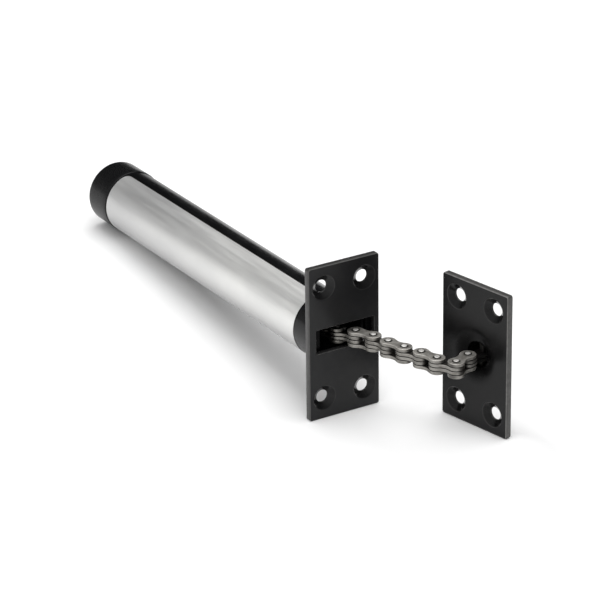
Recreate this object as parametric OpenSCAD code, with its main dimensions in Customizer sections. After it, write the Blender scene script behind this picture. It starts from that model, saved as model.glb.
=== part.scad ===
// Concealed door closer: a spring in a black tube pulls a leaf chain in through
// the slot of a face plate, and the chain's last link is pinned in an anchor plate.
// X runs along the tube, out of the front of the face plate. Z is up, along the
// long side of both plates. The origin is on the tube's axis, in the plane of
// the face plate's back, which seats on the door's edge.

/* [Face plate] */
// Width of the face plate, along Y
plate_w = 32; // [30:0.5:38]
// Height of the face plate, along Z
plate_h = 64; // [60:0.5:72]
// Thickness of both plates
plate_t = 2.7; // [2.4:0.1:3.2]
// Corner radius of both plates
corner_r = 1; // [0.8:0.1:3]
// Width of the bevel around the front of both plates
edge_bevel = 0.35; // [0.15:0.05:0.5]
// Spacing of the screw holes across the face plate
screw_dy = 18.5; // [17.6:0.1:19.2]
// Spacing of the screw holes along the face plate
screw_dz = 46.5; // [46:0.1:49]
// Diameter of the screw holes
screw_d = 5.1; // [4.5:0.1:6]
// Diameter of the countersinks
csk_d = 10.2; // [9:0.1:10.6]
// Depth of the countersinks
csk_depth = 2; // [1.6:0.1:2.2]
// Width of the chain slot
slot_w = 26.6; // [24:0.1:27.2]
// Height of the chain slot
slot_h = 10.1; // [9:0.1:10.8]

/* [Case] */
// Outside diameter of the tube
tube_d = 26.4; // [26:0.1:26.7]
// Wall of the tube
tube_wall = 1.2; // [1:0.1:1.3]
// Length of the tube
tube_l = 179.1; // [177:0.1:179.3]
// Outside diameter of the rear cap
cap_d = 27; // [26.8:0.1:28]
// Length of the rear cap
cap_l = 16; // [15.5:0.1:18]
// Length of the label
label_l = 151.5; // [100:0.1:152]
// Thickness of the label foil
label_t = 0.12; // [0.1:0.01:0.2]
// Angle over which the label wraps the tube
label_wrap = 170; // [90:1:200]

/* [Chain] */
// Pitch of the chain
pitch = 8; // [8:0.1:8]
// Radius of a link plate's round ends
head_r = 3.25; // [3:0.05:3.4]
// Half width of a link plate's waist
waist = 2.2; // [1.9:0.05:2.6]
// Thickness of a link plate
link_t = 1.45; // [1.3:0.05:1.5]
// Diameter of the chain pins
pin_d = 2.3; // [2:0.05:2.4]
// Length of the chain pins over both rivet ends
pin_l = 6.9; // [6.5:0.1:7]

/* [Spring and rod] */
// Wire diameter of the spring
wire_d = 2.6; // [2:0.1:2.8]
// Outside diameter of the spring
spring_d = 23; // [22:0.1:23.6]
// Number of turns of the spring
turns = 22; // [16:1:24]
// Diameter of the draw rod
rod_d = 6; // [5:0.1:6.4]
// Width across the flats of the nuts
nut_af = 10; // [9:0.5:11]

/* [Anchor plate] */
// Width of the anchor plate
anchor_w = 34.4; // [33:0.1:38]
// Height of the anchor plate
anchor_h = 59.1; // [57:0.1:64]
// Spacing of the screw holes across the anchor plate
anchor_dx = 19.4; // [19:0.1:21]
// Spacing of the screw holes along the anchor plate
anchor_dz = 43.2; // [42:0.1:45]
// Outside diameter of the boss on its back
boss_d = 20; // [19:0.1:22]
// Depth of the boss behind the plate
boss_l = 7; // [6.6:0.1:9]

/* [Hidden] */
$fn = 64;
gap = 0.02;                      // between pieces that are pressed together
slip = 0.05;                     // between pieces that turn or slide
tube_r = tube_d / 2;
bore_r = tube_r - tube_wall;
slot_y = 0.5;                    // centre of the chain slot
slot_z = 0.9;
pin_r = pin_d / 2;
in_lo = 0.08;                    // inner link plates stand this far off the middle
in_hi = in_lo + link_t;
out_lo = in_hi + 0.12;           // outer link plates lie outside them
out_hi = out_lo + link_t;
links = 17;                      // link 1 is on the rod's fork, link 17 on the anchor
free_from = 8;                   // the last pin that is still on the tube's axis
free_x = -2.2;
// Heading of each link, in degrees from +X. The first eight lie along the tube.
headings = [0, 0, 0, 0, 0, 0, 0, 0, 28.8, 24.9, 12.8, 16.1, 21.2,
    14.1, 30.6, 112.2, 101.0];
function pin_at(k) =
    k <= free_from ? [free_x - (free_from - k) * pitch, 0, 0]
                   : pin_at(k - 1) + pitch * [cos(headings[k - 1]), sin(headings[k - 1]), 0];
guide_x = -2.2;                  // front of the chain guide
guide_l = 9.9;
washer_x = guide_x - guide_l - 0.1;
washer_t = 1.4;
spring_x = washer_x - washer_t - slip;
seat_x = -157.3;                 // front of the spring seat's disc
seat_t = 5;
ring_x = seat_x - seat_t - slip;
ring_t = 1.2;
rod_end = -174.5;
fork_r = 5;
fork_tail = 15.5;                // from the fork's pin to its back
fork_nose = 3.4;
label_top = 80.3;                // label's upper edge, in degrees up from -Y
label_front = -13.5;
label_rear = label_front - label_l;
cap_front = -165.7;
neck = 0.4;                      // the tube is this much thinner inside the cap
ear_x = -1.8;                    // bottom of the notch in the tube's front
anchor_yaw = 10.7;               // turn of the anchor plate about Z
anchor_rise = 1.1;               // its middle above the chain's
pin_depth = 4.45;                // anchor pin behind the anchor plate's front
dish_r = 12;
dish_depth = 1.8;
roll_r = 14.45;                  // radius on which the dish rolls in
pocket_r = 5.2;
plate_black = [0.09, 0.09, 0.09];
tube_black = [0.06, 0.06, 0.06];
link_grey = [0.45, 0.43, 0.40];
bright = [0.75, 0.74, 0.72];
zinc = [0.62, 0.60, 0.52];

// A rectangle with round corners, centred
module round_rect(w, h, r) {
    square([w - 2 * r, h], center = true);
    square([w, h - 2 * r], center = true);
    for (x = [-1, 1], y = [-1, 1])
        translate([x * (w / 2 - r), y * (h / 2 - r)]) circle(r = r);
}

// A plate lying on its back, its front up, with a rounded bevel around the front
module bevelled_plate(w, h, t) {
    c = edge_bevel;
    linear_extrude(t - c) round_rect(w, h, corner_r);
    hull() {
        translate([0, 0, t - c]) bevel_ring(w, h, 0);
        translate([0, 0, t - 0.35 * c]) bevel_ring(w, h, 0.25 * c);
        translate([0, 0, t - 0.01]) bevel_ring(w, h, c);
    }
}
module bevel_ring(w, h, in) {
    linear_extrude(0.01, $fn = 32) round_rect(w - 2 * in, h - 2 * in, corner_r - in);
}

// A countersunk screw hole through a plate whose back is at z = 0
module screw_hole(t) {
    translate([0, 0, -1]) cylinder(d = screw_d, h = t + 2);
    translate([0, 0, t - csk_depth]) cylinder(d1 = screw_d, d2 = csk_d, h = csk_depth);
    translate([0, 0, t - 0.001]) cylinder(d = csk_d, h = 1);
}

// Turns a shape drawn along Z so that it lies along X, with its own X along Y
module along_x() {
    multmatrix([[0, 0, 1, 0], [1, 0, 0, 0], [0, 1, 0, 0], [0, 0, 0, 1]]) children();
}

module face_plate() {
    color(plate_black) along_x() difference() {
        bevelled_plate(plate_w, plate_h, plate_t);
        for (y = [-1, 1], z = [-1, 1])
            translate([y * screw_dy / 2, z * screw_dz / 2, 0]) screw_hole(plate_t);
        translate([slot_y, slot_z, -1]) linear_extrude(plate_t + 2)
            round_rect(slot_w, slot_h, 0.5);
    }
}

module case_tube() {
    color(tube_black) along_x() difference() {
        translate([0, 0, -tube_l]) cylinder(r = tube_r, h = tube_l, $fn = 128);
        translate([0, 0, -tube_l - 1]) cylinder(r = bore_r, h = tube_l + 2, $fn = 128);
        // the chain slot runs on into the front of the tube
        translate([slot_y - 15, slot_z - slot_h / 2, ear_x]) cube([30, slot_h, 3]);
        // neck that the rear cap is pushed over
        translate([0, 0, -tube_l - 1]) difference() {
            cylinder(r = tube_r + 1, h = tube_l + 1 + cap_front + slip, $fn = 128);
            translate([0, 0, -1])
                cylinder(r = tube_r - neck, h = tube_l + 3 + cap_front + slip, $fn = 128);
        }
        // groove for the retaining ring
        translate([0, 0, ring_x - ring_t - slip]) cylinder(r = bore_r + 0.6, h = ring_t + 2 * slip);
    }
}

// Foil label, wrapped on the tube
module case_label() {
    color([0.78, 0.79, 0.80]) along_x() translate([0, 0, label_rear])
        rotate([0, 0, 180 - label_top]) rotate_extrude(angle = label_wrap, $fn = 128)
            translate([tube_r + gap, 0]) square([label_t, label_l]);
}

module rear_cap() {
    r = cap_d / 2;
    edge = 2.3;
    color([0.05, 0.05, 0.05]) along_x() difference() {
        translate([0, 0, cap_front - cap_l]) rotate_extrude($fn = 128) union() {
            translate([0, edge]) square([r, cap_l - edge - 0.4]);
            square([r - edge, edge]);
            translate([r - edge, edge]) intersection() {
                circle(r = edge);
                translate([0, -edge]) square([edge, edge]);
            }
            translate([0, cap_l - 0.41]) square([r - 0.3, 0.41]);
        }
        translate([0, 0, -tube_l - 0.1]) cylinder(r = tube_r - neck + slip, h = 20, $fn = 128);
        // moulded hollow behind the end of the tube
        translate([0, 0, -tube_l - 0.8]) cylinder(r = bore_r - 1, h = 2);
    }
}

// Plastic plug in the front of the tube, with a flared way for the chain. Its two
// ears fill the notches in the tube's front, out to the ends of the chain slot.
module chain_guide() {
    back = guide_x - guide_l;
    color([0.04, 0.04, 0.04]) {
        difference() {
            union() {
                along_x() translate([0, 0, back])
                    cylinder(r = bore_r - slip, h = guide_l, $fn = 128);
                guide_ears();
            }
            // throat
            translate([back - 1, -8, -3.8]) cube([guide_l + 2, 16, 7.6]);
            // flare
            translate([0, 0, -4]) linear_extrude(8.9) flare();
        }
    }
}
module flare() {
    polygon([[guide_x - guide_l + 2, 8], [guide_x, 10.7], [ear_x, 11.4], [1, 11.6],
        [1, -9.6], [ear_x, -9.4], [guide_x, -9.2], [guide_x - guide_l + 2, -8]]);
}
module guide_ears() {
    h = slot_h - 2 * slip;
    difference() {
        intersection() {
            along_x() union() {
                translate([0, 0, guide_x - 0.5])
                    cylinder(r = bore_r - slip, h = ear_x - guide_x + 0.6, $fn = 128);
                translate([0, 0, ear_x + slip])
                    cylinder(r = 14.6, h = -ear_x - 2 * slip, $fn = 128);
            }
            translate([guide_x - 1, -20, slot_z - h / 2]) cube([4, 40, h]);
        }
        translate([0, 0, -10]) linear_extrude(20) flare();
    }
}

module thrust_washer() {
    color(zinc) along_x() difference() {
        translate([0, 0, washer_x - washer_t]) cylinder(r = bore_r - 0.1, h = washer_t);
        translate([0, 0, washer_x - washer_t - 1]) linear_extrude(washer_t + 2)
            intersection() {
                circle(r = 8.6);
                square([20, 7.8], center = true);
            }
    }
}

// Circlip in the tube's groove: the spring seat's stop
module retaining_ring() {
    r = bore_r + 0.5;
    color([0.25, 0.24, 0.23]) along_x() translate([0, 0, ring_x - ring_t])
        linear_extrude(ring_t) difference() {
            union() {
                difference() {
                    circle(r = r);
                    translate([0, 0.5]) circle(r = bore_r - 1.3);
                    translate([-2.2, -r - 1]) square([4.4, 6]);
                }
                for (s = [-1, 1]) translate([s * 4, -bore_r + 2.4]) circle(r = 1.8);
            }
            for (s = [-1, 1]) translate([s * 4, -bore_r + 2.4]) circle(r = 0.9);
        }
}

// Round wire swept along a helix, closed ends flat against the seats
module return_spring() {
    wr = wire_d / 2;
    r = spring_d / 2 - wr;
    sides = 8;
    per = 15;
    n = turns * per;
    x0 = spring_x - wr;
    len = spring_x - seat_x - slip - wire_d;
    dead = 1;                    // turns at each end that lie almost flat
    function adv(t) = t < dead ? wire_d * 1.02 * t
        : t > turns - dead ? len - wire_d * 1.02 * (turns - t)
        : wire_d * 1.02 * dead + (len - 2 * wire_d * 1.02 * dead) * (t - dead) / (turns - 2 * dead);
    pts = [for (i = [0:n]) for (j = [0:sides - 1])
        let (a = 360 * i / per, b = 360 * j / sides, q = r + wr * cos(b))
        [x0 - adv(i / per) + wr * sin(b), q * cos(a), q * sin(a)]];
    body = [for (i = [0:n - 1]) for (j = [0:sides - 1])
        let (k = (j + 1) % sides)
        [i * sides + j, i * sides + k, (i + 1) * sides + k, (i + 1) * sides + j]];
    ends = [[for (j = [sides - 1:-1:0]) j], [for (j = [0:sides - 1]) n * sides + j]];
    color([0.55, 0.55, 0.56]) polyhedron(pts, concat(body, ends), convexity = 10);
}

module draw_rod() {
    front = pin_at(0).x - fork_tail + 9;
    r = rod_d / 2;
    color(zinc) along_x() translate([0, 0, rod_end]) difference() {
        cylinder(r = r, h = front - rod_end);
        // chamfered tail
        difference() {
            translate([0, 0, -1]) cylinder(r = r + 1, h = 1.6);
            translate([0, 0, -0.4]) cylinder(r1 = r - 1, r2 = r, h = 1);
        }
        // thread, drawn as rings
        for (i = [1:14]) translate([0, 0, i])
            rotate_extrude() polygon([[r - 0.5, 0], [r + 0.1, -0.4], [r + 0.1, 0.4]]);
    }
}

module rod_fork() {
    p = pin_at(0);
    color(zinc) difference() {
        along_x() translate([0, 0, p.x - fork_tail]) union() {
            cylinder(r = fork_r, h = fork_tail + fork_nose - 0.8);
            translate([0, 0, fork_tail + fork_nose - 0.8])
                cylinder(r1 = fork_r, r2 = fork_r - 0.8, h = 0.8);
        }
        translate([p.x - head_r - 0.6, -6, -in_hi - 0.15]) cube([10, 12, 2 * in_hi + 0.3]);
        translate([p.x, 0, -6]) cylinder(r = pin_r + gap, h = 12);
        along_x() translate([0, 0, p.x - fork_tail - 1]) cylinder(r = rod_d / 2 + gap, h = 10.05);
    }
}

module fork_pin() {
    color(bright) translate([pin_at(0).x, 0, -4.7]) cylinder(r = pin_r, h = 9.4);
}

module spring_seat() {
    color([0.5, 0.5, 0.5]) along_x() difference() {
        union() {
            translate([0, 0, seat_x - seat_t]) cylinder(r = bore_r - 0.3, h = seat_t);
            translate([0, 0, seat_x - 0.01]) cylinder(r = spring_d / 2 - wire_d - 0.3, h = 3.5);
            translate([0, 0, seat_x + 3.49])
                cylinder(r1 = spring_d / 2 - wire_d - 0.3, r2 = spring_d / 2 - wire_d - 1.1, h = 1);
        }
        translate([0, 0, seat_x - seat_t - 1]) cylinder(r = rod_d / 2 + gap, h = seat_t + 7);
    }
}

// Hexagon nut, its front face at z = 0, drawn backwards
module hex_nut(h) {
    difference() {
        intersection() {
            translate([0, 0, -h]) cylinder(d = nut_af / cos(30), h = h, $fn = 6);
            translate([0, 0, -h]) cylinder(r1 = nut_af / 2 + 0.1, r2 = nut_af / 2 + h, h = h);
        }
        translate([0, 0, -h - 1]) cylinder(r = rod_d / 2 + gap, h = h + 2);
    }
}
module adjuster_nut() {
    color(zinc) along_x() translate([0, 0, seat_x - seat_t - gap]) hex_nut(5);
}
module lock_nut() {
    color(zinc) along_x() translate([0, 0, seat_x - seat_t - 5 - 2 * gap]) hex_nut(3);
}

// Outline of a link plate, its first pin at the origin, with a hole at each pin
module link_outline(hole) {
    flank = 5;                   // radius of the hollow on each side of the waist
    difference() {
        union() {
            for (x = [0, pitch]) translate([x, 0]) circle(r = head_r);
            translate([1, -head_r + 0.35]) square([pitch - 2, 2 * head_r - 0.7]);
        }
        for (s = [-1, 1]) translate([pitch / 2, s * (waist + flank)]) circle(r = flank);
        for (x = [0, pitch]) translate([x, 0]) circle(r = hole);
    }
}

module at_link(n) {
    translate(pin_at(n - 1)) rotate([0, 0, headings[n - 1]]) children();
}

// Link n: two plates side by side if n is odd, two plates outside those if n is even
module chain_link(n) {
    inner = n % 2 == 1;
    lo = inner ? in_lo : out_lo;
    color(link_grey) at_link(n) for (s = [0, 1]) mirror([0, 0, s])
        translate([0, 0, lo]) difference() {
            linear_extrude(link_t) link_outline(inner ? pin_r + slip : pin_r + gap);
            // the outer plates are dimpled around each rivet end
            if (!inner) for (x = [0, pitch]) translate([x, 0, link_t - 0.15])
                cylinder(r1 = pin_r + 0.1, r2 = pin_r + 0.4, h = 0.16);
        }
}

// The two rivets of outer link n
module chain_pins(n) {
    color(bright) at_link(n) for (x = [0, pitch]) translate([x, 0, -pin_l / 2]) union() {
        translate([0, 0, 0.25]) cylinder(r = pin_r, h = pin_l - 0.5);
        cylinder(r1 = pin_r - 0.3, r2 = pin_r, h = 0.25);
        translate([0, 0, pin_l - 0.25]) cylinder(r1 = pin_r, r2 = pin_r - 0.3, h = 0.25);
    }
}

// Puts the anchor's pieces in place. They are drawn lying on their back, with
// their own Z out of the plate's front and the anchor pin's axis along Y at z = 0.
module at_anchor() {
    translate(pin_at(links)) rotate([0, 0, anchor_yaw]) rotate([90, 0, 0]) children();
}

module anchor_plate() {
    back = pin_depth - plate_t;
    color(plate_black) at_anchor() difference() {
        translate([0, anchor_rise, 0]) union() {
            translate([0, 0, back]) bevelled_plate(anchor_w, anchor_h, plate_t);
            translate([0, 0, back - boss_l]) cylinder(d = boss_d, h = boss_l + 0.5);
        }
        for (x = [-1, 1], y = [-1, 1])
            translate([x * anchor_dx / 2, anchor_rise + y * anchor_dz / 2, back]) screw_hole(plate_t);
        // dish, rolled in from the front face
        translate([0, anchor_rise, pin_depth]) rotate_extrude() difference() {
            translate([0, -dish_depth]) square([dish_r, dish_depth + 1]);
            translate([dish_r, -roll_r]) circle(r = roll_r);
        }
        // pocket for the chain's last link
        translate([0, anchor_rise, -3.6]) cylinder(r = pocket_r, h = pin_depth + 3.6);
        // bore for the pin, across the pocket
        rotate([90, 0, 0]) translate([0, 0, -boss_d]) cylinder(r = pin_r + gap, h = 2 * boss_d);
    }
}

module anchor_pin() {
    color(bright) at_anchor() rotate([90, 0, 0])
        translate([0, 0, -9 - anchor_rise]) cylinder(r = pin_r, h = 18);
}

face_plate();
case_tube();
case_label();
rear_cap();
chain_guide();
thrust_washer();
retaining_ring();
return_spring();
draw_rod();
rod_fork();
fork_pin();
spring_seat();
adjuster_nut();
lock_nut();
chain_link(1);  // chain_link_01
chain_link(2);  // chain_link_02
chain_link(3);  // chain_link_03
chain_link(4);  // chain_link_04
chain_link(5);  // chain_link_05
chain_link(6);  // chain_link_06
chain_link(7);  // chain_link_07
chain_link(8);  // chain_link_08
chain_link(9);  // chain_link_09
chain_link(10);  // chain_link_10
chain_link(11);  // chain_link_11
chain_link(12);  // chain_link_12
chain_link(13);  // chain_link_13
chain_link(14);  // chain_link_14
chain_link(15);  // chain_link_15
chain_link(16);  // chain_link_16
chain_link(17);  // chain_link_17
chain_pins(2);  // chain_pins_02
chain_pins(4);  // chain_pins_04
chain_pins(6);  // chain_pins_06
chain_pins(8);  // chain_pins_08
chain_pins(10);  // chain_pins_10
chain_pins(12);  // chain_pins_12
chain_pins(14);  // chain_pins_14
chain_pins(16);  // chain_pins_16
anchor_plate();
anchor_pin();
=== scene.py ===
import math

import bmesh
import bpy
import numpy as np
from mathutils import Matrix, Vector
from mathutils.geometry import delaunay_2d_cdt


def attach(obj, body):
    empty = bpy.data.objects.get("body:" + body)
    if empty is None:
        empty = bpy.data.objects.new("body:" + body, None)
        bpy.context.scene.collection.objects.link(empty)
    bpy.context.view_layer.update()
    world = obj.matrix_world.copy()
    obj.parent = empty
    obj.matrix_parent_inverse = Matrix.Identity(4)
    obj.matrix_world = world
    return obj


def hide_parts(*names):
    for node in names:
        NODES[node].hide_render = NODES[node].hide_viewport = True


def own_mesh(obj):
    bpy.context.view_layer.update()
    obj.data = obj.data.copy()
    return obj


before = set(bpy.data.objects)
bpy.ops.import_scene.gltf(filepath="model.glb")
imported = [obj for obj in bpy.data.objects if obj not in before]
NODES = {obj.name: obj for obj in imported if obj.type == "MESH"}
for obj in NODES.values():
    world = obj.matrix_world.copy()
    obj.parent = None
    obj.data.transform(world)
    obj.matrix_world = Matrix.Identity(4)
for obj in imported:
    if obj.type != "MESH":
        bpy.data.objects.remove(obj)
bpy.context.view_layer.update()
MM = 0.001

# ---------------------------------------------------------------- sizes, in mm, as in the CAD part
PITCH, HEAD_R, WAIST, LINK_T = 8.0, 3.25, 2.2, 1.45
PIN_R, PIN_L = 1.15, 6.9
GAP = 0.07                                                 # the finish lies this far inside the CAD plates where they face
IN_LO = 0.08
OUT_LO = IN_LO + LINK_T + 0.12
LINKS, FREE_FROM, FREE_X = 17, 8, -2.2
HEADINGS = [0, 0, 0, 0, 0, 0, 0, 0, 28.8, 24.9, 12.8, 16.1, 21.2, 14.1, 30.6, 112.2, 101.0]
TUBE_R = 13.2
ANCHOR_YAW, ANCHOR_RISE, PIN_DEPTH, PLATE_T = 10.7, 1.1, 4.45, 2.7
BOSS_R, BOSS_L = 10.0, 7.0
TAU = 2 * math.pi

PINS = []
for k in range(LINKS + 1):
    if k <= FREE_FROM:
        PINS.append((FREE_X - (FREE_FROM - k) * PITCH, 0.0))
    else:
        a = math.radians(HEADINGS[k - 1])
        PINS.append((PINS[-1][0] + PITCH * math.cos(a), PINS[-1][1] + PITCH * math.sin(a)))


# ---------------------------------------------------------------- mesh building
class Shell:
    """Closed skins put together ring by ring, in mm. rim is 1 where an edge is rounded over. The soiling-and-shade mask
    marks soiling and painted shade, in recesses and between parts. cut marks where a tool has left it smooth, in the
    countersinks, whose cones also get painted shade.
    """

    def __init__(self):
        self.points, self.faces, self.rims, self.grimes, self.cuts, self.flat = [], [], [], [], [], {}

    def ring(self, points, rim=0.0, grime=0.0, cut=0.0):
        first = len(self.points)
        self.points += [tuple(float(c) for c in p) for p in points]
        self.rims += list(rim) if isinstance(rim, list) else [rim] * len(points)
        self.grimes += list(grime) if isinstance(grime, list) else [grime] * len(points)
        self.cuts += [cut] * len(points)
        return list(range(first, len(self.points)))

    def bridge(self, a, b):
        n = len(a)
        for i in range(n):
            j = (i + 1) % n
            self.faces.append((a[i], a[j], b[j], b[i]))

    def skin(self, rings):
        for a, b in zip(rings, rings[1:]):
            self.bridge(a, b)

    def fan(self, ring, tip, rim=0.0):
        t = self.ring([tip], rim)[0]
        n = len(ring)
        for i in range(n):
            self.faces.append((ring[i], ring[(i + 1) % n], t))

    def fill(self, flat, outer, holes=(), normal=None):
        """Triangles over the flat region inside outer and outside the holes. flat gives a point's place in that plane."""
        ids, edges = [], []
        for loop in (outer, *holes):
            first = len(ids)
            ids += loop
            edges += [(first + i, first + (i + 1) % len(loop)) for i in range(len(loop))]
        places = [Vector(flat(self.points[i])) for i in ids]
        out, _, tris, came_from, _, _ = delaunay_2d_cdt(places, edges, [], 0, 1e-7)
        back = [ids[c[0]] for c in came_from]
        loops = [np.array([flat(self.points[i]) for i in loop]) for loop in (outer, *holes)]
        for t in tris:
            c = sum((out[i] for i in t), Vector((0, 0))) / len(t)
            if inside(c, loops[0]) and not any(inside(c, hole) for hole in loops[1:]):
                self.faces.append(tuple(back[i] for i in t))
        if normal is not None:
            for i in ids:
                self.flat[i] = tuple(normal)


def inside(p, loop):
    x, y = loop[:, 0], loop[:, 1]
    x2, y2 = np.roll(x, -1), np.roll(y, -1)
    crosses = (y > p[1]) != (y2 > p[1])
    with np.errstate(divide="ignore", invalid="ignore"):
        at = x + (p[1] - y) * (x2 - x) / (y2 - y)
    return bool(np.count_nonzero(crosses & (p[0] < at)) % 2)


def make(name, shell, material, body, nodes=(), offset=None):
    me = bpy.data.meshes.new(name)
    me.from_pydata([tuple(c * MM for c in p) for p in shell.points], [], shell.faces)
    bm = bmesh.new()
    bm.from_mesh(me)
    bmesh.ops.recalc_face_normals(bm, faces=bm.faces[:])
    bm.to_mesh(me)
    bm.free()
    me.polygons.foreach_set("use_smooth", [True] * len(me.polygons))
    for label_of, values in (("rim", shell.rims), ("grime", shell.grimes), ("cut", shell.cuts)):
        mask = me.attributes.new(label_of, "FLOAT", "POINT")
        mask.data.foreach_set("value", np.array(values, np.float32))
    normals = [tuple(v.vector) for v in me.vertex_normals]
    for i, n in shell.flat.items():
        normals[i] = n
    me.normals_split_custom_set_from_vertices(normals)
    me.materials.append(material)
    o = bpy.data.objects.new(name, me)
    bpy.context.scene.collection.objects.link(o)
    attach(o, body)
    if nodes:
        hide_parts(*nodes)
    return o


def circle(n, r, turn=0.0):
    return [(r * math.cos(TAU * i / n + turn), r * math.sin(TAU * i / n + turn)) for i in range(n)]


def round_rect(w, h, r, inset=0.0, corner=8, side=4):
    """Outline of a rectangle with round corners, counter-clockwise, moved in by inset."""
    q = max(r - inset, 0.02)
    cx, cy = w / 2 - inset - q, h / 2 - inset - q
    arcs = []
    for n, (sx, sy) in enumerate(((1, 1), (-1, 1), (-1, -1), (1, -1))):
        arcs.append([(sx * cx + q * math.cos(math.radians(90 * (n + t / corner))),
                      sy * cy + q * math.sin(math.radians(90 * (n + t / corner)))) for t in range(corner + 1)])
    out = []
    for n, arc in enumerate(arcs):
        out += arc
        a, b = arc[-1], arcs[(n + 1) % 4][0]
        out += [(a[0] + (b[0] - a[0]) * t / side, a[1] + (b[1] - a[1]) * t / side) for t in range(1, side)]
    return out


def quarter(r, steps, skip_ends=False):
    """(inset, drop) pairs of a quarter round, from the flat face at (r, 0) to the side wall at (0, r)."""
    span = range(1, steps) if skip_ends else range(steps + 1)
    return [(r - r * math.sin(math.radians(90 * t / steps)), r - r * math.cos(math.radians(90 * t / steps)))
            for t in span]


def rims_of(n):
    """Wear mask over a rounded edge: strongest in its middle."""
    return [math.sin(math.pi * (t + 0.5) / n) ** 0.5 for t in range(n)]


# ---------------------------------------------------------------- plates
def screw_hole(s, put, cx, cy, z0, z1, n=72):
    """Rings of a countersunk hole from the front face to the back face; returns its first and last ring."""
    c, d = 5.1, 2.55
    slope = (c - d) / 2.0
    rows = [(c + 0.16, z1, 0.0), (c + 0.075, z1 - 0.018, 0.12), (c + 0.01, z1 - 0.055, 0.2),
            (c - 0.13 * slope, z1 - 0.13, 0.05), (c - 0.4 * slope, z1 - 0.4, 0.0),
            (c - 1.86 * slope, z1 - 1.86, 0.0), (d + 0.05, z1 - 1.975, 0.3), (d, z1 - 2.07, 0.2),
            (d, z0 + 0.2, 0.0), (d + 0.03, z0 + 0.07, 0.3), (d + 0.09, z0 + 0.015, 0.3), (d + 0.17, z0, 0.0)]
    rings = [s.ring([put(cx + x, cy + y, z) for x, y in circle(n, r)], rim, 0.0, 1.0 if 3 <= k <= 6 else 0.0)
             for k, (r, z, rim) in enumerate(rows)]
    s.skin(rings)
    return rings[0], rings[-1]


def plate_outline(s, put, w, h, r, z0, z1, front, back, steps=6):
    """Rings round a plate's rim from its front face to its back face."""
    rings = []
    # The side wall carries the rim mask, less of it on the top and bottom edges: wear and painted highlight on the side
    # walls.
    edge_wear_and_highlight = lambda points, level: [level * (0.55 if abs(y) > h / 2 - 0.5 else 1.0) for x, y in points]
    for k, (inset, drop) in enumerate(quarter(front, steps)):
        rings.append(s.ring([put(x, y, z1 - drop) for x, y in round_rect(w, h, r, inset)],
                            (0, 0.8, 1, 0.9, 0.7, 0.55, 0.5)[k]))
    middle = round_rect(w, h, r)
    rings.append(s.ring([put(x, y, (z0 + z1) / 2) for x, y in middle], edge_wear_and_highlight(middle, 0.52)))
    for k, (inset, drop) in enumerate(reversed(quarter(back, 4))):
        rings.append(s.ring([put(x, y, z0 + drop) for x, y in round_rect(w, h, r, inset)], (0.5, 0.5, 0.4, 0.2, 0)[k]))
    s.skin(rings)
    return rings[0], rings[-1]


def face_plate(material):
    s = Shell()
    w, h, t = 32.0, 64.0, 2.7
    put = lambda y, z, x: (x, y, z)
    flat = lambda p: (p[1], p[2])
    front, back = plate_outline(s, put, w, h, 1.0, 0.0, t, 0.38, 0.2)
    fronts, backs = [], []
    for y in (-9.25, 9.25):
        for z in (-23.25, 23.25):
            f, b = screw_hole(s, put, y, z, 0.0, t)
            fronts.append(f)
            backs.append(b)
    rows = [(-0.2, t, 0.0), (-0.09, t - 0.02, 0.6), (-0.02, t - 0.08, 0.9), (0.0, t - 0.2, 0.2),
            (0.0, 0.2, 0.0), (-0.05, 0.05, 0.3), (-0.2, 0.0, 0.0)]
    rings = [s.ring([put(0.5 + y, 0.9 + z, x) for y, z in round_rect(26.6, 10.1, 0.5, inset, 6, 6)], rim)
             for inset, x, rim in rows]
    s.skin(rings)
    s.fill(flat, front, fronts + [rings[0]], (1, 0, 0))
    s.fill(flat, back, backs + [rings[-1]], (-1, 0, 0))
    return make("face_plate_finish", s, material, "case", ["face_plate"])


def anchor_place():
    """Maps the anchor's own frame, Z out of its front and Y up, to the row frame."""
    yaw = math.radians(ANCHOR_YAW)
    px, py = PINS[LINKS]
    wide = (math.cos(yaw), math.sin(yaw))
    out = (math.sin(yaw), -math.cos(yaw))
    return (lambda x, y, z: (px + x * wide[0] + z * out[0], py + x * wide[1] + z * out[1], y)), wide, out


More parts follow.
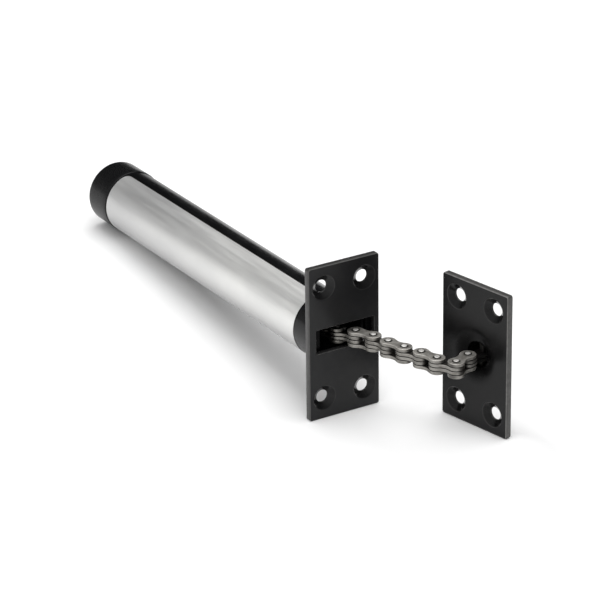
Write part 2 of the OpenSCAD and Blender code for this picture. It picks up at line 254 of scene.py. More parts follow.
def anchor_plate(material):
    s = Shell()
    place, wide, out = anchor_place()
    put = lambda x, y, z: place(x, y + ANCHOR_RISE, z)
    px, py = PINS[LINKS]
    flat = lambda p: ((p[0] - px) * wide[0] + (p[1] - py) * wide[1], p[2])
    w, h, z1 = 34.4, 59.1, PIN_DEPTH
    z0 = z1 - PLATE_T
    front, back = plate_outline(s, put, w, h, 1.0, z0, z1, 0.38, 0.2)
    fronts, backs = [], []
    for x in (-9.7, 9.7):
        for y in (-21.6, 21.6):
            f, b = screw_hole(s, put, x, y, z0, z1)
            fronts.append(f)
            backs.append(b)
    n = 96
    # dish: rolls in from the front face to the pocket for the last link
    rows = [(12.6, 0.0, 0.0), (12.3, 0.001, 0.0)]
    for t in range(0, 17):
        a = math.radians(27.3 * t / 16)
        rows.append((12.0 - 14.45 * math.sin(a), 14.45 * (1 - math.cos(a)) + 0.004, 0.0))
    r, d, _ = rows[-1]
    rows += [(5.27, d + 0.05, 0.0), (5.21, d + 0.15, 0.0), (5.2, d + 0.4, 0.0), (5.2, 7.75, 0.0),
             (5.1, 7.98, 0.0), (4.85, 8.04, 0.0)]
    # The soiling-and-shade mask rises toward the dish's middle and fills the pocket: painted shade.
    shade_dimming = lambda r: (lambda t: t * t * (3 - 2 * t))(min(1.0, max(0.0, (12.6 - r) / 5.5)))
    rings = [s.ring([put(x, y, z1 - depth) for x, y in circle(n, r)], rim, shade_dimming(r)) for r, depth, rim in rows]
    s.skin(rings)
    s.fill(flat, rings[-1], (), (out[0], out[1], 0))
    # boss behind the plate
    b0 = z0 - BOSS_L
    rows = [(BOSS_R + 0.6 * (1 - math.sin(math.radians(15 * t))), z0 - 0.6 * (1 - math.cos(math.radians(15 * t))), 0.0)
            for t in range(7)]
    rows += [(BOSS_R, z0 - 0.6 - (BOSS_L - 1.2) * t / 4, 0.0) for t in range(1, 4)]
    rows += [(BOSS_R - 0.6 * (1 - math.cos(math.radians(15 * t))), b0 + 0.6 * (1 - math.sin(math.radians(15 * t))), 0.5 if t < 6 else 0.0)
             for t in range(7)]
    boss = [s.ring([put(x, y, z) for x, y in circle(n, r)], rim) for r, z, rim in rows]
    s.skin(boss)
    s.fill(flat, boss[-1], (), (-out[0], -out[1], 0))
    s.fill(flat, front, fronts + [rings[0]], (out[0], out[1], 0))
    s.fill(flat, back, backs + [boss[0]], (-out[0], -out[1], 0))
    return make("anchor_plate_finish", s, material, "anchor", ["anchor_plate"])


# ---------------------------------------------------------------- chain
def link_outline(inset=0.0, head=26, flank=8):
    """Outline of a link plate, moved in by inset. Its pins are at x = 0 and x = 8."""
    c = PITCH / 2
    rf = (c * c + WAIST ** 2 - HEAD_R ** 2) / (2 * (HEAD_R - WAIST))
    fy = WAIST + rf
    reach = math.degrees(math.atan2(fy, c))
    r, q = HEAD_R - inset, rf + inset
    out = []
    for t in range(head):                                  # left head, from its upper tangent point round to the lower
        a = math.radians(reach + (360 - 2 * reach) * t / head)
        out.append((r * math.cos(a), r * math.sin(a)))
    for t in range(flank):                                 # lower flank
        a = math.radians(180 - reach - (180 - 2 * reach) * t / flank)
        out.append((c + q * math.cos(a), -fy + q * math.sin(a)))
    for t in range(head):                                  # right head
        a = math.radians(180 + reach + (360 - 2 * reach) * t / head)
        out.append((PITCH + r * math.cos(a), r * math.sin(a)))
    for t in range(flank):                                 # upper flank
        a = math.radians(-reach - (180 - 2 * reach) * t / flank)
        out.append((c + q * math.cos(a), fy + q * math.sin(a)))
    return out


def wall_dirt_and_shade(outline, outer, least):
    """Soiling and painted shade on a plate's wall: never below least, and thick on its ends, where the next plates face
    it.
    """
    out = []
    for x, _ in outline:
        t = min(1.0, max(0.0, (max(-x, x - PITCH) - (2.2 if outer else 1.6)) / 1.3))
        out.append(max(least, (0.8 if outer else 1.0) * t * t * (3 - 2 * t)))
    return out


def link_plate(s, put, lo, hi, outer, up):
    """One plate between heights lo and hi. The side away from the middle of the chain, up, has the fuller rounding."""
    wall = []
    top, bottom = (0.30, 0.26) if up > 0 else (0.26, 0.30)
    free = outer * up                                      # 1: the top lies open, -1: the underside does
    # Walls that face other plates carry the soiling-and-shade mask, strongest on the plate ends: soiling and painted
    # shade between the plates.
    for k, (inset, drop) in enumerate(quarter(top, 5)):
        line = link_outline(inset)
        wall.append(s.ring([put(x, y, hi - drop) for x, y in line], (0.2, 0.9, 1, 0.9, 0.5, 0.1)[k],
                           [0.0] * len(line) if free > 0 and k < 3 else
                           wall_dirt_and_shade(line, outer, (1, 0.9, 0.6, 0.25, 0.1, 0.1)[k] if free <= 0 else 0.08)))
    for k, (inset, drop) in enumerate(reversed(quarter(bottom, 4))):
        line = link_outline(inset)
        wall.append(s.ring([put(x, y, lo + drop) for x, y in line], (0.1, 0.4, 0.6, 0.4, 0.1)[k],
                           [0.0] * len(line) if free < 0 and k > 2 else
                           wall_dirt_and_shade(line, outer, (0.15, 0.25, 0.6, 0.9, 1)[k] if free >= 0 else 0.1)))
    s.skin(wall)
    tops, bottoms = [], []
    hole = PIN_R + (0.02 if outer else 0.05)
    for x0 in (0.0, PITCH):
        if outer:                                          # dimpled round the rivet on its outer side
            lips = [(hole + 0.62, 0.0), (hole + 0.46, 0.004), (hole + 0.36, 0.04), (hole + 0.2, 0.12),
                    (hole + 0.02, 0.17), (hole, 0.26)]
        else:
            lips = [(hole + 0.14, 0.0), (hole + 0.05, 0.03), (hole, 0.13)]
        plain = [(hole + 0.12, 0.0), (hole + 0.04, 0.03), (hole, 0.12)]
        over, under = (lips, plain) if up > 0 else (plain, lips)
        rows = [(r, hi - d) for r, d in over] + [(r, lo + d) for r, d in reversed(under)]
        open_rows = set(range(len(over))) if free > 0 else set(range(len(over), len(rows))) if free < 0 else set()
        # Round each hole the soiling-and-shade mask stays full except out on the open face: a painted shadow ring round
        # the rivet.
        rings = [s.ring([put(x0 + x, y, z) for x, y in circle(40, r)], 0.0,
                        0.0 if n in open_rows and r > hole + 0.6 else 0.65 if n in open_rows and r > hole + 0.4 else 1.0)
                 for n, (r, z) in enumerate(rows)]
        s.skin(rings)
        tops.append(rings[0])
        bottoms.append(rings[-1])
    return wall[0], wall[-1], tops, bottoms


def link_place(n):
    a = math.radians(HEADINGS[n - 1])
    x0, y0 = PINS[n - 1]
    ca, sa = math.cos(a), math.sin(a)
    return (lambda x, y, z: (x0 + x * ca - y * sa, y0 + x * sa + y * ca, z)), (x0, y0, ca, sa)


def chain_link(n, material):
    outer = n % 2 == 0
    s = Shell()
    put, (x0, y0, ca, sa) = link_place(n)
    flat = lambda p: ((p[0] - x0) * ca + (p[1] - y0) * sa, -(p[0] - x0) * sa + (p[1] - y0) * ca)
    base = OUT_LO if outer else IN_LO
    for side in (1, -1):
        lo, hi = base + GAP, base + LINK_T - (0 if outer else GAP)
        if side < 0:
            lo, hi = -hi, -lo
        top, bottom, tops, bottoms = link_plate(s, put, lo, hi, outer, side)
        s.fill(flat, top, tops, (0, 0, 1))
        s.fill(flat, bottom, bottoms, (0, 0, -1))
    return make("chain_link_%02d_plates" % n, s, material, "link_%02d" % n, ["chain_link_%02d" % n])


def rivet_profile(half):
    """(radius, height) from the rivet's middle to the tip of its formed head."""
    return [(PIN_R, half - 0.62), (PIN_R, half - 0.4), (PIN_R - 0.01, half - 0.24), (PIN_R - 0.04, half - 0.13),
            (PIN_R - 0.1, half - 0.06), (PIN_R - 0.2, half - 0.02), (PIN_R - 0.36, half - 0.006),
            (PIN_R - 0.7, half - 0.004), (PIN_R - 0.95, half - 0.01)]


def pins_of(s, put, xs, half, n=36):
    for x0 in xs:
        up = rivet_profile(half)
        rows = [(r, z) for r, z in reversed(up)] + [(PIN_R, 0.0)] + [(r, -z) for r, z in up]
        # The soiling-and-shade mask covers each pin's shank up to its formed heads: painted shade where the pin sits in
        # the plates.
        rings = [s.ring([put(x0 + x, y, z) for x, y in circle(n, r)], 0.0,
                        min(1.0, max(0.0, (half - abs(z) - 0.05) / 0.1))) for r, z in rows]
        s.skin(rings)
        s.fan(rings[0], put(x0, 0, half - 0.03))
        s.fan(rings[-1], put(x0, 0, -half + 0.03))


def chain_pins(n, material):
    s = Shell()
    put, _ = link_place(n)
    pins_of(s, put, (0.0, PITCH), PIN_L / 2)
    return make("chain_pins_%02d_rivets" % n, s, material, "link_%02d" % n, ["chain_pins_%02d" % n])


# ---------------------------------------------------------------- turned pieces on the tube's axis
def lathe(s, rows, n=128):
    """rows are (x, radius, rim) from one end to the other. A row of radius 0 is the tip at that end."""
    rings = []
    for x, r, rim in rows:
        if r > 0:
            rings.append(s.ring([(x, y, z) for y, z in circle(n, r)], rim))
    s.skin(rings)
    if rows[0][1] == 0:
        s.fan(rings[0], (rows[0][0], 0, 0))
    if rows[-1][1] == 0:
        s.fan(rings[-1], (rows[-1][0], 0, 0))
    if rows[0][1] and rows[-1][1]:
        s.bridge(rings[-1], rings[0])
    return rings


def spring(material):
    """Round wire wound 22 times, its end turns closed."""
    s = Shell()
    wire, coil, turns, per, sides = 1.3, 10.2, 22, 24, 10
    front, rear = -13.65 - wire, -157.25 + wire
    length = front - rear
    dead = 2.652                                           # advance of a closed turn

    def advance(t):
        if t < 1:
            return dead * t
        if t > turns - 1:
            return length - dead * (turns - t)
        return dead + (length - 2 * dead) * (t - 1) / (turns - 2)

    rings = []
    for k in range(turns * per + 1):
        a = 2 * math.pi * k / per
        x = front - advance(k / per)
        rings.append(s.ring([(x + wire * math.sin(b), (coil + wire * math.cos(b)) * math.cos(a),
                              (coil + wire * math.cos(b)) * math.sin(a))
                             for b in (2 * math.pi * j / sides for j in range(sides))]))
    s.skin(rings)
    s.fan(rings[0], (front, coil, 0.0))
    s.fan(rings[-1], (rear, coil, 0.0))
    o = make("return_spring_wire", s, material, "case", ["return_spring"])
    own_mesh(o)
    return o


def rear_cap(material):
    s = Shell()
    end, front, r, bore = -181.7, -165.7, 13.5, 12.85
    big = 2.3
    rows = [(end + 0.28, 0, 0), (end + 0.27, 0.5, 0), (end + 0.2, 0.85, 0.2), (end + 0.06, 1.0, 0.3), (end + 0.05, 1.2, 0),
            (end + 0.04, 4.0, 0), (end + 0.02, 8.0, 0), (end, r - big - 0.6, 0)]
    rows += [(end + big * (1 - math.cos(math.radians(9 * t))), r - big + big * math.sin(math.radians(9 * t)), 0.25)
             for t in range(0, 11)]
    rows += [(end + big + (front - 0.35 - end - big) * t / 5, r, 0) for t in range(1, 6)]
    rows += [(front - 0.35 + 0.35 * math.sin(math.radians(18 * t)), r - 0.35 + 0.35 * math.cos(math.radians(18 * t)), 0.8)
             for t in range(1, 6)]
    rows += [(front, bore + 0.12, 0.2), (front - 0.05, bore + 0.06, 0.2), (front - 0.2, bore, 0),
             (-179.15, bore, 0), (-179.2, bore - 0.1, 0), (-179.2, 11.1, 0), (-179.25, 11.0, 0),
             (-179.9, 11.0, 0), (-179.9, 10.7, 0), (-179.9, 0, 0)]
    lathe(s, rows)
    return make("rear_cap_moulding", s, material, "case", ["rear_cap"])


def label(material):
    """Foil wrapped on the tube, its corners round."""
    s = Shell()
    front, rear = -13.5, -165.0
    top, wrap = 80.3, 170.0
    radius, corner = TUBE_R + 0.02, 3.0
    a0, a1 = math.radians(180 - top), math.radians(180 - top + wrap)
    xs = []
    steps = 10
    for t in range(steps + 1):
        xs.append((front - corner + corner * math.cos(math.radians(90 * t / steps)), corner - corner * math.sin(math.radians(90 * t / steps))))
    for t in range(1, 40):
        xs.append((front - corner + (rear + corner - front + corner) * t / 40, 0.0))
    for t in range(steps + 1):
        xs.append((rear + corner - corner * math.sin(math.radians(90 * t / steps)), corner - corner * math.cos(math.radians(90 * t / steps))))
    across = 72
    skins = []
    for r in (radius + 0.12, radius + 0.001):
        rows = []
        for x, inset in xs:
            b0, b1 = a0 + inset / TUBE_R, a1 - inset / TUBE_R
            rows.append(s.ring([(x, r * math.cos(b0 + (b1 - b0) * j / across), r * math.sin(b0 + (b1 - b0) * j / across))
                                for j in range(across + 1)]))
        skins.append(rows)
        for a, b in zip(rows, rows[1:]):
            for j in range(across):
                s.faces.append((a[j], a[j + 1], b[j + 1], b[j]))
    outer, inner = skins
    edge = lambda rows: rows[0] + [r[-1] for r in rows[1:-1]] + rows[-1][::-1] + [r[0] for r in rows[-2:0:-1]]
    s.bridge(edge(outer), edge(inner))
    for rows in skins:
        sign = 1 if rows is outer else -1
        for row in rows:
            for i in row:
                _, y, z = s.points[i]
                d = math.hypot(y, z)
                s.flat[i] = (0, sign * y / d, sign * z / d)
    return make("case_label_foil", s, material, "case", ["case_label"])


# ---------------------------------------------------------------- materials
class Look:
    """A material with one Principled shader and short names for the nodes that feed it."""

    def __init__(self, name, metallic=0.0, roughness=0.5, coat=0.0, coat_roughness=0.1, specular=0.5, anisotropic=0.0):
        self.material = bpy.data.materials.new(name)
        self.material.use_nodes = True
        self.tree = self.material.node_tree
        self.tree.nodes.clear()
        self.out = self.node("ShaderNodeOutputMaterial")
        self.shader = self.node("ShaderNodeBsdfPrincipled")
        self.link(self.shader.outputs["BSDF"], self.out.inputs["Surface"])
        for key, value in (("Metallic", metallic), ("Roughness", roughness), ("Coat Weight", coat),
                           ("Coat Roughness", coat_roughness), ("Specular IOR Level", specular),
                           ("Anisotropic", anisotropic)):
            self.shader.inputs[key].default_value = value
        coord = self.node("ShaderNodeTexCoord")
        scale = self.node("ShaderNodeVectorMath", operation="SCALE")
        scale.inputs["Scale"].default_value = 1000.0       # patterns are sized in mm
        self.link(coord.outputs["Object"], scale.inputs[0])
        self.mm = scale.outputs["Vector"]

    def node(self, kind, **kw):
        n = self.tree.nodes.new(kind)
        for k, v in kw.items():
            setattr(n, k, v)
        return n

    def link(self, a, b):
        self.tree.links.new(a, b)

    def feed(self, key, value):
        self.link(value, self.shader.inputs[key])

    def put(self, socket, value):
        if hasattr(value, "is_output"):
            self.link(value, socket)
        else:
            socket.default_value = value

    def stretched(self, x, y, z):
        n = self.node("ShaderNodeVectorMath", operation="MULTIPLY")
        self.link(self.mm, n.inputs[0])
        n.inputs[1].default_value = (x, y, z)
        return n.outputs["Vector"]

    def noise(self, per_mm, detail=3.0, rough=0.5, vector=None, distortion=0.0):
        n = self.node("ShaderNodeTexNoise")
        self.link(vector or self.mm, n.inputs["Vector"])
        n.inputs["Scale"].default_value = per_mm
        n.inputs["Detail"].default_value = detail
        n.inputs["Roughness"].default_value = rough
        n.inputs["Distortion"].default_value = distortion
        return n.outputs["Fac"]

    def range(self, value, a, b, c, d, smooth=False):
        n = self.node("ShaderNodeMapRange", interpolation_type="SMOOTHSTEP" if smooth else "LINEAR")
        self.put(n.inputs["Value"], value)
        for key, v in (("From Min", a), ("From Max", b), ("To Min", c), ("To Max", d)):
            n.inputs[key].default_value = v
        return n.outputs["Result"]

    def math(self, op, a, b=0.0, clamp=False):
        n = self.node("ShaderNodeMath", operation=op, use_clamp=clamp)
        self.put(n.inputs[0], a)
        self.put(n.inputs[1], b)
        return n.outputs["Value"]

    def mix(self, fac, a, b):
        n = self.node("ShaderNodeMix", data_type="RGBA")
        self.put(n.inputs[0], fac)
        for socket, v in ((n.inputs[6], a), (n.inputs[7], b)):
            if hasattr(v, "is_output"):
                self.link(v, socket)
            else:
                socket.default_value = (*v, 1.0)
        return n.outputs[2]

    def rim(self, name="rim"):
        n = self.node("ShaderNodeAttribute", attribute_type="GEOMETRY", attribute_name=name)
        return n.outputs["Fac"]

    def bump(self, height, strength, depth_mm, under=None):
        n = self.node("ShaderNodeBump")
        n.inputs["Strength"].default_value = strength
        n.inputs["Distance"].default_value = depth_mm * MM
        self.link(height, n.inputs["Height"])
        if under is not None:
            self.link(under, n.inputs["Normal"])
        return n.outputs["Normal"]


def grey(v, warm=0.0):
    return (v * (1 + warm), v, v * (1 - warm))


def black_coat(name="black_coat", gloss=0.235, depth=1.0, edge_wear_and_highlight_colour=0.13, shaded_corner_gloss=1.0):
    """Satin black paint on steel plate: fine grain, rubbed thin on the edges, smoother in the countersinks. Painted
    highlight on the edges and side walls; painted shade in the dish, the pocket and the countersink cones, and on the
    face plate toward its upper right.
    """
    k = Look(name, roughness=0.24, specular=gloss)
    cloud = k.noise(0.09, 3, 0.55)
    grain = k.noise(1.9, 3, 0.6)
    fine = k.noise(5.5, 2, 0.5)
    base = k.mix(k.range(cloud, 0.35, 0.65, 0, 1), tuple(depth * c for c in (0.0105, 0.0106, 0.0112)),
                 tuple(depth * c for c in (0.0135, 0.0135, 0.0139)))
    speck = k.range(fine, 0.66, 0.78, 0, 0.35)
    base = k.mix(speck, base, (0.018, 0.018, 0.018))
    # Darker where the soiling-and-shade mask lies, in the anchor's dish and pocket: painted shade.
    base = k.mix(k.math("MULTIPLY", k.rim("grime"), 0.8), base, (0.002, 0.002, 0.002))
    # Darker in the countersink cones: painted shade.
    base = k.mix(k.math("MULTIPLY", k.rim("cut"), 0.5), base, (0.004, 0.004, 0.004))
    # Lighter on the rounded edges and side walls: wear and painted highlight.
    edge_wear_and_highlight = k.math("MULTIPLY", k.rim(), k.range(k.noise(0.55, 4, 0.65), 0.42, 0.68, 0.72, 1.0), clamp=True)
    base = k.mix(k.math("MULTIPLY", edge_wear_and_highlight, 0.75), base, (edge_wear_and_highlight_colour, 0.98 * edge_wear_and_highlight_colour, 0.95 * edge_wear_and_highlight_colour))
    k.feed("Base Color", base)
    rough = k.math("ADD", k.range(grain, 0.3, 0.7, 0.20, 0.26), k.range(cloud, 0.3, 0.7, -0.01, 0.015))
    rough = k.math("SUBTRACT", rough, k.math("MULTIPLY", k.rim("cut"), 0.06))
    k.feed("Roughness", k.math("SUBTRACT", rough, k.math("MULTIPLY", edge_wear_and_highlight, 0.08)))
    # Less reflection where that mask lies: painted shade.
    shade_dimming = k.math("SUBTRACT", 1.0, k.math("MULTIPLY", k.rim("grime"), 0.8))
    apart = k.node("ShaderNodeSeparateXYZ")
    k.link(k.mm, apart.inputs[0])
    # The reflection fades toward the plate's upper right, as set for the face plate: painted shade.
    up = k.math("ADD", apart.outputs["Y"], k.math("MULTIPLY", apart.outputs["Z"], 0.35))
    k.feed("Specular IOR Level", k.math("MULTIPLY", shade_dimming, k.range(up, 6.0, 18.0, gloss, shaded_corner_gloss * gloss, True)))
    k.feed("Normal", k.bump(fine, 0.1, 0.002, k.bump(grain, 0.12, 0.004)))
    return k.material


def tube_coat():
    """Black semi-gloss enamel on drawn tube, with faint lines along it."""
    k = Look("tube_coat", roughness=0.2, specular=0.16)
    lines = k.noise(1.6, 3, 0.5, k.stretched(0.02, 1, 1))
    cloud = k.noise(0.07, 2, 0.5)
    fine = k.noise(3.0, 3, 0.55)
    k.feed("Base Color", k.mix(k.range(cloud, 0.35, 0.65, 0, 1), (0.0022, 0.0023, 0.0026), (0.0040, 0.0041, 0.0044)))
    k.feed("Roughness", k.math("ADD", k.range(lines, 0.3, 0.7, 0.18, 0.26), k.range(cloud, 0.3, 0.7, -0.02, 0.03)))
    apart = k.node("ShaderNodeSeparateXYZ")
    k.link(k.mm, apart.inputs[0])
    # The reflection fades toward the rear end: painted shade.
    k.feed("Specular IOR Level", k.range(apart.outputs["X"], -140.0, -20.0, 0.05, 0.215, True))
    k.feed("Normal", k.bump(fine, 0.14, 0.002, k.bump(lines, 0.08, 0.003)))
    return k.material


def label_foil():
    """Silver satin foil with soft cloudy streaks along it."""
    k = Look("label_foil", metallic=0.85, roughness=0.40, specular=0.5)
    streak = k.noise(0.6, 3, 0.5, k.stretched(0.05, 1, 1))
    cloud = k.noise(0.035, 3, 0.5, k.stretched(1, 1.6, 1.6))
    grain = k.noise(4.0, 2, 0.5)
    base = k.mix(k.range(cloud, 0.35, 0.65, 0, 1), (0.785, 0.787, 0.770), (0.868, 0.868, 0.845))
    base = k.mix(k.range(streak, 0.35, 0.7, 0, 0.35), base, (0.92, 0.92, 0.90))
    apart = k.node("ShaderNodeSeparateXYZ")
    k.link(k.mm, apart.inputs[0])
    # Darker toward the rear end and toward the lower edge: painted shade.
    rear = k.range(k.math("ADD", apart.outputs["X"], k.math("MULTIPLY", cloud, 30.0)), -150.0, -10.0, 1, 0, True)
    low = k.range(apart.outputs["Z"], -6.0, 7.0, 1, 0, True)
    base = k.mix(k.math("MULTIPLY", rear, 0.52), base, (0.36, 0.36, 0.37))
    base = k.mix(k.math("MULTIPLY", low, 0.7), base, (0.42, 0.42, 0.42))
    k.feed("Base Color", base)
    k.feed("Roughness", k.math("ADD", k.range(streak, 0.3, 0.7, 0.36, 0.46), k.range(grain, 0.3, 0.7, -0.03, 0.03)))
    k.feed("Normal", k.bump(grain, 0.15, 0.003, k.bump(cloud, 0.3, 0.05)))
    return k.material


def black_plastic(name="black_plastic", specular=0.17, depth=1.0):
    """Moulded nylon, lightly textured."""
    k = Look(name, roughness=0.27, specular=specular)
    cloud = k.noise(0.12, 3, 0.5)
    grain = k.noise(2.4, 4, 0.6)
    # Lighter on the rounded edges: wear and painted highlight.
    edge_wear_and_highlight = k.math("MULTIPLY", k.rim(), k.range(k.noise(0.7, 3, 0.6), 0.4, 0.7, 0.1, 1.0), clamp=True)
    base = k.mix(k.range(cloud, 0.35, 0.65, 0, 1), tuple(depth * c for c in (0.0028, 0.0029, 0.0033)),
                 tuple(depth * c for c in (0.0050, 0.0050, 0.0053)))
    k.feed("Base Color", k.mix(k.math("MULTIPLY", edge_wear_and_highlight, 0.4), base, (0.03, 0.03, 0.03)))
    k.feed("Roughness", k.range(grain, 0.3, 0.7, 0.22, 0.32))
    k.feed("Normal", k.bump(grain, 0.2, 0.005))
    return k.material


def steel(name, dark, light, rough, mottle=0.35, grain_depth=0.012, rim=0.0, metallic=1.0, specular=0.5,
          oil_and_shade=0.0):
    k = Look(name, metallic=metallic, roughness=sum(rough) / 2, specular=specular)
    cloud = k.noise(mottle, 4, 0.62)
    grain = k.noise(2.6, 4, 0.6)
    fine = k.noise(7.0, 2, 0.5)
    base = k.mix(k.range(cloud, 0.36, 0.64, 0, 1, True), dark, light)
    base = k.mix(k.range(grain, 0.55, 0.75, 0, 0.5), base, tuple(0.6 * c for c in dark))
    if rim:
        # Lighter on the rounded edges: wear and painted highlight.
        edge_wear_and_highlight = k.math("MULTIPLY", k.rim(), k.range(grain, 0.3, 0.6, 0.4, 1.0), clamp=True)
        base = k.mix(k.math("MULTIPLY", edge_wear_and_highlight, rim), base, tuple(min(1.0, 1.7 * c) for c in light))
    # Rust patches, then the soiling-and-shade mask darkens the steel: soiling and painted shade between the plates.
    if oil_and_shade:
        rust = k.range(k.noise(0.8, 3, 0.6), 0.52, 0.70, 0, 0.22, True)
        base = k.mix(rust, base, (0.85 * dark[0], 0.66 * dark[1], 0.52 * dark[2]))
        base = k.mix(k.math("MULTIPLY", k.rim("grime"), oil_and_shade), base, (0.014, 0.012, 0.010))
        apart = k.node("ShaderNodeSeparateXYZ")
        k.link(k.mm, apart.inputs[0])
        # Darker and more metallic toward the face plate's slot: painted shade inside the slot.
        base = k.mix(k.range(apart.outputs["X"], -4.0, 7.0, 0.35, 0.0, True), base, (0.014, 0.012, 0.010))
        k.feed("Metallic", k.range(apart.outputs["X"], 0.0, 8.0, 0.97, metallic, True))
    k.feed("Base Color", base)
    k.feed("Roughness", k.math("ADD", k.range(cloud, 0.3, 0.7, *rough), k.range(fine, 0.3, 0.7, -0.03, 0.03)))
    k.feed("Normal", k.bump(grain, 0.4, grain_depth))
    return k.material


def last_link():
    """Chain steel at the head that shows, turned near-black past it where it goes into the anchor's pocket: painted
    shade.
    """
    k = Look("last_link_steel", metallic=0.48, roughness=0.42, specular=0.25)
    away = k.node("ShaderNodeVectorMath", operation="DISTANCE")
    k.link(k.mm, away.inputs[0])
    away.inputs[1].default_value = (*PINS[LINKS - 1], 0.0)
    cloud = k.noise(0.35, 4, 0.62)
    grain = k.noise(2.6, 4, 0.6)
    base = k.mix(k.range(cloud, 0.36, 0.64, 0, 1, True), (0.175, 0.167, 0.154), (0.320, 0.309, 0.287))
    # The soiling-and-shade mask darkens it between the plates: soiling and painted shade.
    base = k.mix(k.math("MULTIPLY", k.rim("grime"), 0.9), base, (0.015, 0.014, 0.013))
    # Past its visible head the link turns near-black toward the pocket: painted shade.
    pocket_shade = k.range(k.math("ADD", away.outputs["Value"], grain), 3.4, 4.4, 0, 1, True)
    k.feed("Base Color", k.mix(pocket_shade, base, (0.010, 0.0095, 0.009)))
    k.feed("Roughness", k.math("ADD", k.range(cloud, 0.3, 0.7, 0.34, 0.50), k.math("MULTIPLY", pocket_shade, 0.1)))
    k.feed("Normal", k.bump(grain, 0.4, 0.012))
    return k.material


MATERIALS = {
    # The face plate's coat loses reflection toward its upper right: painted shade.
    "black_coat": black_coat(shaded_corner_gloss=0.35),
    # The anchor's coat: the plate coat with half the base colour and less gloss, painted shade; its edges lighter,
    # painted highlight.
    "anchor_coat": black_coat("anchor_coat", 0.18, 0.5, 0.26),
    "tube_coat": tube_coat(),
    "label_foil": label_foil(),
    "black_plastic": black_plastic(),
    # The guide's plastic: darker and less glossy than the cap's, painted shade in the face plate's slot.
    "guide_plastic": black_plastic("guide_plastic", 0.06, 0.6),
    "chain_steel": steel("chain_steel", (0.175, 0.167, 0.154), (0.320, 0.309, 0.287), (0.30, 0.44), rim=0.9,
                         metallic=0.48, specular=0.25, oil_and_shade=0.92),
    "rivet_steel": steel("rivet_steel", (0.62, 0.605, 0.58), (0.84, 0.83, 0.80), (0.34, 0.44), grain_depth=0.006,
                         metallic=0.5, oil_and_shade=0.9),
    "last_link_steel": last_link(),
    # Near-black steel, used for the anchor's pin: painted shade in the anchor's pocket.
    "dark_steel": steel("dark_steel", (0.012, 0.0115, 0.011), (0.03, 0.029, 0.027), (0.45, 0.6)),
    "zinc_steel": steel("zinc_steel", (0.42, 0.40, 0.33), (0.62, 0.60, 0.52), (0.28, 0.42)),
    "spring_steel": steel("spring_steel", (0.20, 0.20, 0.21), (0.40, 0.40, 0.41), (0.30, 0.45)),
}

# ---------------------------------------------------------------- pieces
for o in NODES.values():
    slot = {"case_tube": "tube_coat", "chain_guide": "guide_plastic", "return_spring": "spring_steel",
            "retaining_ring": "spring_steel", "spring_seat": "black_plastic", "fork_pin": "rivet_steel",
            "anchor_pin": "dark_steel"}.get(o.name, "zinc_steel")
    for k in range(len(o.material_slots)):
        o.material_slots[k].material = MATERIALS[slot]

face_plate(MATERIALS["black_coat"])
anchor_plate(MATERIALS["anchor_coat"])
rear_cap(MATERIALS["black_plastic"])
label(MATERIALS["label_foil"])
spring(MATERIALS["spring_steel"])
for n in range(1, LINKS + 1):
    chain_link(n, MATERIALS["chain_steel" if n < LINKS else "last_link_steel"])
    if n % 2 == 0:
        chain_pins(n, MATERIALS["rivet_steel"])

# ---------------------------------------------------------------- floor, light and camera
def paper(x, y):
    """Height of the floor's paper: flat under the tube and the face plate, lifted to the anchor plate's lower edge."""
    flat = -32.05 - 0.1016 * (x - 2.7)
    (ax, ay), (bx, by) = EDGE
    t = max(0.0, min(1.0, ((x - ax) * (bx - ax) + (y - ay) * (by - ay)) / ((bx - ax) ** 2 + (by - ay) ** 2)))
    d = math.hypot(x - ax - t * (bx - ax), y - ay - t * (by - ay))
    w = max(0.0, min(1.0, 1 - (d - 3.0) / 27.0))
    return flat + w * w * (3 - 2 * w) * (FOOT - flat)


place, wide, out = anchor_place()
FOOT = ANCHOR_RISE - 29.55 - 0.1
EDGE = [place(x, 0, PIN_DEPTH - PLATE_T / 2)[:2] for x in (-17.2, 17.2)]
near = [-8.0 + 1.5 * t for t in range(75)]
xs = [-1500.0, -700.0, -300.0, -100.0, -40.0, -20.0] + near + [115.0, 140.0, 200.0, 400.0, 1500.0]
ys = [-1500.0, -700.0, -300.0, -100.0, -40.0, -20.0] + near + [115.0, 140.0, 200.0, 400.0, 1500.0]
me = bpy.data.meshes.new("floor")
me.from_pydata([(x * MM, y * MM, paper(x, y) * MM) for y in ys for x in xs], [],
               [(j * len(xs) + i, j * len(xs) + i + 1, (j + 1) * len(xs) + i + 1, (j + 1) * len(xs) + i)
                for j in range(len(ys) - 1) for i in range(len(xs) - 1)])
me.polygons.foreach_set("use_smooth", [True] * len(me.polygons))
floor = bpy.data.objects.new("floor", me)
bpy.context.scene.collection.objects.link(floor)
k = Look("floor_paper", roughness=0.9, specular=0.1)
k.feed("Base Color", k.mix(k.noise(0.02, 2, 0.5), (0.90, 0.90, 0.90), (0.915, 0.915, 0.915)))
me.materials.append(k.material)

az, el, roll = math.radians(58.5486), math.radians(23.7431), math.radians(-0.7973)
back = Vector((math.sin(az) * math.cos(el), -math.cos(az) * math.cos(el), math.sin(el)))
right = Vector((math.cos(az), math.sin(az), 0))
up = back.cross(right)
right, up = right * math.cos(roll) + up * math.sin(roll), up * math.cos(roll) - right * math.sin(roll)
cam = bpy.data.cameras.new("camera")
cam.sensor_width, cam.lens = 36.0, 188.017
cam.clip_start, cam.clip_end = 0.01, 50.0
camera = bpy.data.objects.new("camera", cam)
bpy.context.scene.collection.objects.link(camera)
turn = Matrix((right, up, back)).transposed().to_4x4()
camera.matrix_world = Matrix.Translation(Vector((0.9338988, -0.5894036, 0.500834))) @ turn
bpy.context.scene.camera = camera


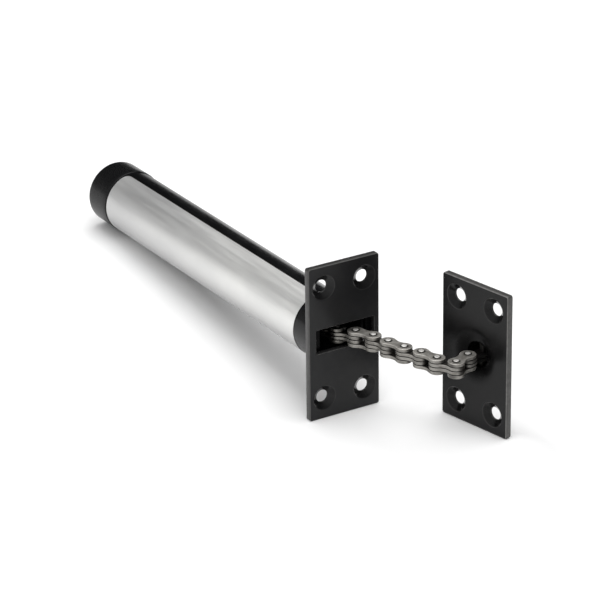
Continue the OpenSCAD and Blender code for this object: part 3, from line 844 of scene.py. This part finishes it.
def area(name, place, target, size, power, colour=(1, 1, 1), size_y=None):
    data = bpy.data.lights.new(name, "AREA")
    data.energy, data.color, data.size = power, colour, size
    if size_y:
        data.shape, data.size_y = "RECTANGLE", size_y
    o = bpy.data.objects.new(name, data)
    bpy.context.scene.collection.objects.link(o)
    place, target = Vector(place), Vector(target)
    o.location = place
    o.rotation_mode = "QUATERNION"
    o.rotation_quaternion = (place - target).to_track_quat("Z", "Y")
    return o


area("softbox_over", (-0.05, 0.22, 1.20), (-0.03, 0, 0), 1.3, 12.0)

# the room: bright overhead and on the camera's side, dim behind. The camera sees it white.
world = bpy.data.worlds.new("studio")
world.use_nodes = True
tree = world.node_tree
background = tree.nodes["Background"]
coord = tree.nodes.new("ShaderNodeTexCoord")


def glow(towards, low, high, strength):
    """Light from round the direction towards, from nothing where its cosine is low to strength where it is high."""
    dot = tree.nodes.new("ShaderNodeVectorMath")
    dot.operation = "DOT_PRODUCT"
    tree.links.new(coord.outputs["Generated"], dot.inputs[0])
    dot.inputs[1].default_value = Vector(towards).normalized()
    ramp = tree.nodes.new("ShaderNodeMapRange")
    ramp.interpolation_type = "SMOOTHSTEP"
    for key, v in (("From Min", low), ("From Max", high), ("To Min", 0.0), ("To Max", strength)):
        ramp.inputs[key].default_value = v
    tree.links.new(dot.outputs["Value"], ramp.inputs["Value"])
    return ramp.outputs["Result"]


def add(a, b):
    n = tree.nodes.new("ShaderNodeMath")
    n.operation = "ADD"
    for socket, v in ((n.inputs[0], a), (n.inputs[1], b)):
        if hasattr(v, "is_output"):
            tree.links.new(v, socket)
        else:
            socket.default_value = v
    return n.outputs["Value"]


light = add(add(glow((0, 0, 1), 0.58, 0.92, 1.05), glow((0.30, -0.95, 0.15), 0.0, 0.9, 0.95)), 0.04)
tree.links.new(light, background.inputs["Strength"])
background.inputs["Color"].default_value = (1.0, 1.0, 1.0, 1.0)
white = tree.nodes.new("ShaderNodeBackground")
white.inputs["Color"].default_value = (1.0, 1.0, 1.0, 1.0)
white.inputs["Strength"].default_value = 1.0
path = tree.nodes.new("ShaderNodeLightPath")
blend = tree.nodes.new("ShaderNodeMixShader")
tree.links.new(path.outputs["Is Camera Ray"], blend.inputs[0])
tree.links.new(background.outputs[0], blend.inputs[1])
tree.links.new(white.outputs[0], blend.inputs[2])
tree.links.new(blend.outputs[0], tree.nodes["World Output"].inputs["Surface"])
bpy.context.scene.world = world
bpy.context.scene.view_settings.view_transform = "Standard"
bpy.context.scene.view_settings.look = "None"
